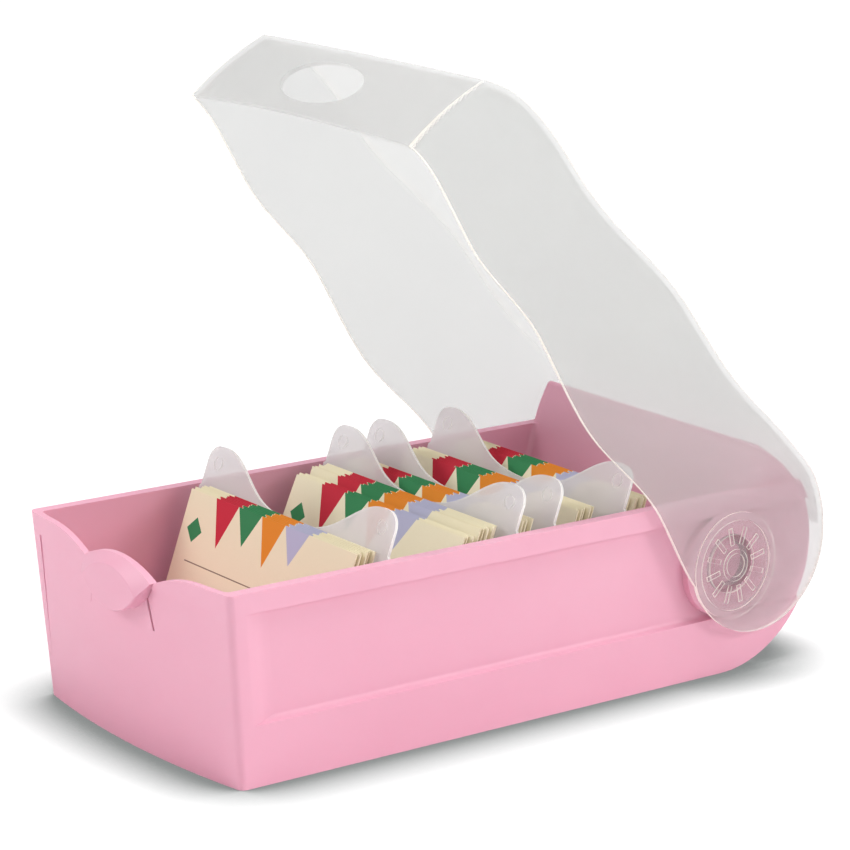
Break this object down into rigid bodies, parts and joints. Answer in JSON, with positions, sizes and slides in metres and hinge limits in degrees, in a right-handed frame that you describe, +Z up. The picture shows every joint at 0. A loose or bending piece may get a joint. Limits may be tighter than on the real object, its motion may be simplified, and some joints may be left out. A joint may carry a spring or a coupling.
{
  "type": "index card box",
  "caption": "Lidded plastic box for small landscape index cards, with a clear wavy hinged lid, a snap tongue in front, leaf dividers and stacks of cards.",
  "frame": {"origin": "middle of the tub's flat underside, halfway along its length", "axes": "X across the box, +Y from the latch at the front to the round hinged back, +Z up"},
  "size_m": [0.0984, 0.1998, 0.1699],
  "materials": {
    "pink_polypropylene": "satin",
    "frosted_polypropylene": "satin",
    "divider_polypropylene": "satin",
    "card_stock": "matte"
  },
  "bodies": {
    "tub": {"tub": "pink_polypropylene"},
    "latch": {"latch_tongue": "pink_polypropylene"},
    "lid": {"lid": "frosted_polypropylene"},
    "divider_1": {"divider_1": "divider_polypropylene"},
    "divider_2": {"divider_2": "divider_polypropylene"},
    "divider_3": {"divider_3": "divider_polypropylene"},
    "divider_4": {"divider_4": "divider_polypropylene"},
    "cards_1": {"card_1_1": "card_stock", "card_1_2": "card_stock", "card_1_3": "card_stock", "card_1_4": "card_stock", "card_1_5": "card_stock", "card_1_6": "card_stock", "card_1_7": "card_stock"},
    "cards_2_front": {"card_2_front_1": "card_stock", "card_2_front_2": "card_stock", "card_2_front_3": "card_stock", "card_2_front_4": "card_stock"},
    "cards_2_back": {"card_2_back_1": "card_stock", "card_2_back_2": "card_stock", "card_2_back_3": "card_stock", "card_2_back_4": "card_stock", "card_2_back_5": "card_stock", "card_2_back_6": "card_stock", "card_2_back_7": "card_stock"},
    "cards_3": {"card_3_1": "card_stock", "card_3_2": "card_stock", "card_3_3": "card_stock", "card_3_4": "card_stock", "card_3_5": "card_stock", "card_3_6": "card_stock"},
    "cards_4": {"card_4_1": "card_stock", "card_4_2": "card_stock", "card_4_3": "card_stock", "card_4_4": "card_stock", "card_4_5": "card_stock", "card_4_6": "card_stock", "card_4_7": "card_stock", "card_4_8": "card_stock"},
    "cards_5": {"card_5_1": "card_stock", "card_5_2": "card_stock", "card_5_3": "card_stock", "card_5_4": "card_stock", "card_5_5": "card_stock", "card_5_6": "card_stock", "card_5_7": "card_stock"}
  },
  "joints": [
    {"name": "lid_hinge", "type": "hinge", "parent": "tub", "child": "lid", "pos_m": [0, 0.065, 0.0315], "axis": [-1, 0, 0], "range_deg": [-48, 52]},
    {"name": "latch_flex", "type": "hinge", "parent": "tub", "child": "latch", "pos_m": [0, -0.09788, 0.034], "axis": [-1, 0, 0], "range_deg": [0, 12], "stiffness_Nm_per_rad": 0.25},
    {"name": "divider_1_lift", "type": "slide", "parent": "tub", "child": "divider_1", "axis": [0, 0.3256, 0.9455], "range_m": [0, 0.052]},
    {"name": "divider_2_lift", "type": "slide", "parent": "tub", "child": "divider_2", "axis": [0, 0.3256, 0.9455], "range_m": [0, 0.052]},
    {"name": "divider_3_lift", "type": "slide", "parent": "tub", "child": "divider_3", "axis": [0, 0.3256, 0.9455], "range_m": [0, 0.052]},
    {"name": "divider_4_lift", "type": "slide", "parent": "tub", "child": "divider_4", "axis": [0, 0.3256, 0.9455], "range_m": [0, 0.036]},
    {"name": "cards_1_tilt", "type": "hinge", "parent": "tub", "child": "cards_1", "pos_m": [0, -0.06875, 0.0023], "axis": [1, 0, 0], "range_deg": [0, 35]},
    {"name": "cards_2_front_tilt", "type": "hinge", "parent": "tub", "child": "cards_2_front", "pos_m": [0, -0.0384, 0.0023], "axis": [1, 0, 0], "range_deg": [0, 26]},
    {"name": "cards_2_back_tilt", "type": "hinge", "parent": "tub", "child": "cards_2_back", "pos_m": [0, -0.02937, 0.0023], "axis": [1, 0, 0], "range_deg": [0, 23.4]},
    {"name": "cards_3_tilt", "type": "hinge", "parent": "tub", "child": "cards_3", "pos_m": [0, -0.01664, 0.0023], "axis": [1, 0, 0], "range_deg": [0, 3.5]},
    {"name": "cards_4_tilt", "type": "hinge", "parent": "tub", "child": "cards_4", "pos_m": [0, 0.00193, 0.0023], "axis": [1, 0, 0], "range_deg": [0, 10]},
    {"name": "cards_5_tilt", "type": "hinge", "parent": "tub", "child": "cards_5", "pos_m": [0, 0.021, 0.0023], "axis": [1, 0, 0], "range_deg": [0, 5]}
  ],
  "couplings": [
    {"joint": "cards_2_back_tilt", "follows": "cards_2_front_tilt", "ratio": 0.9}
  ]
}
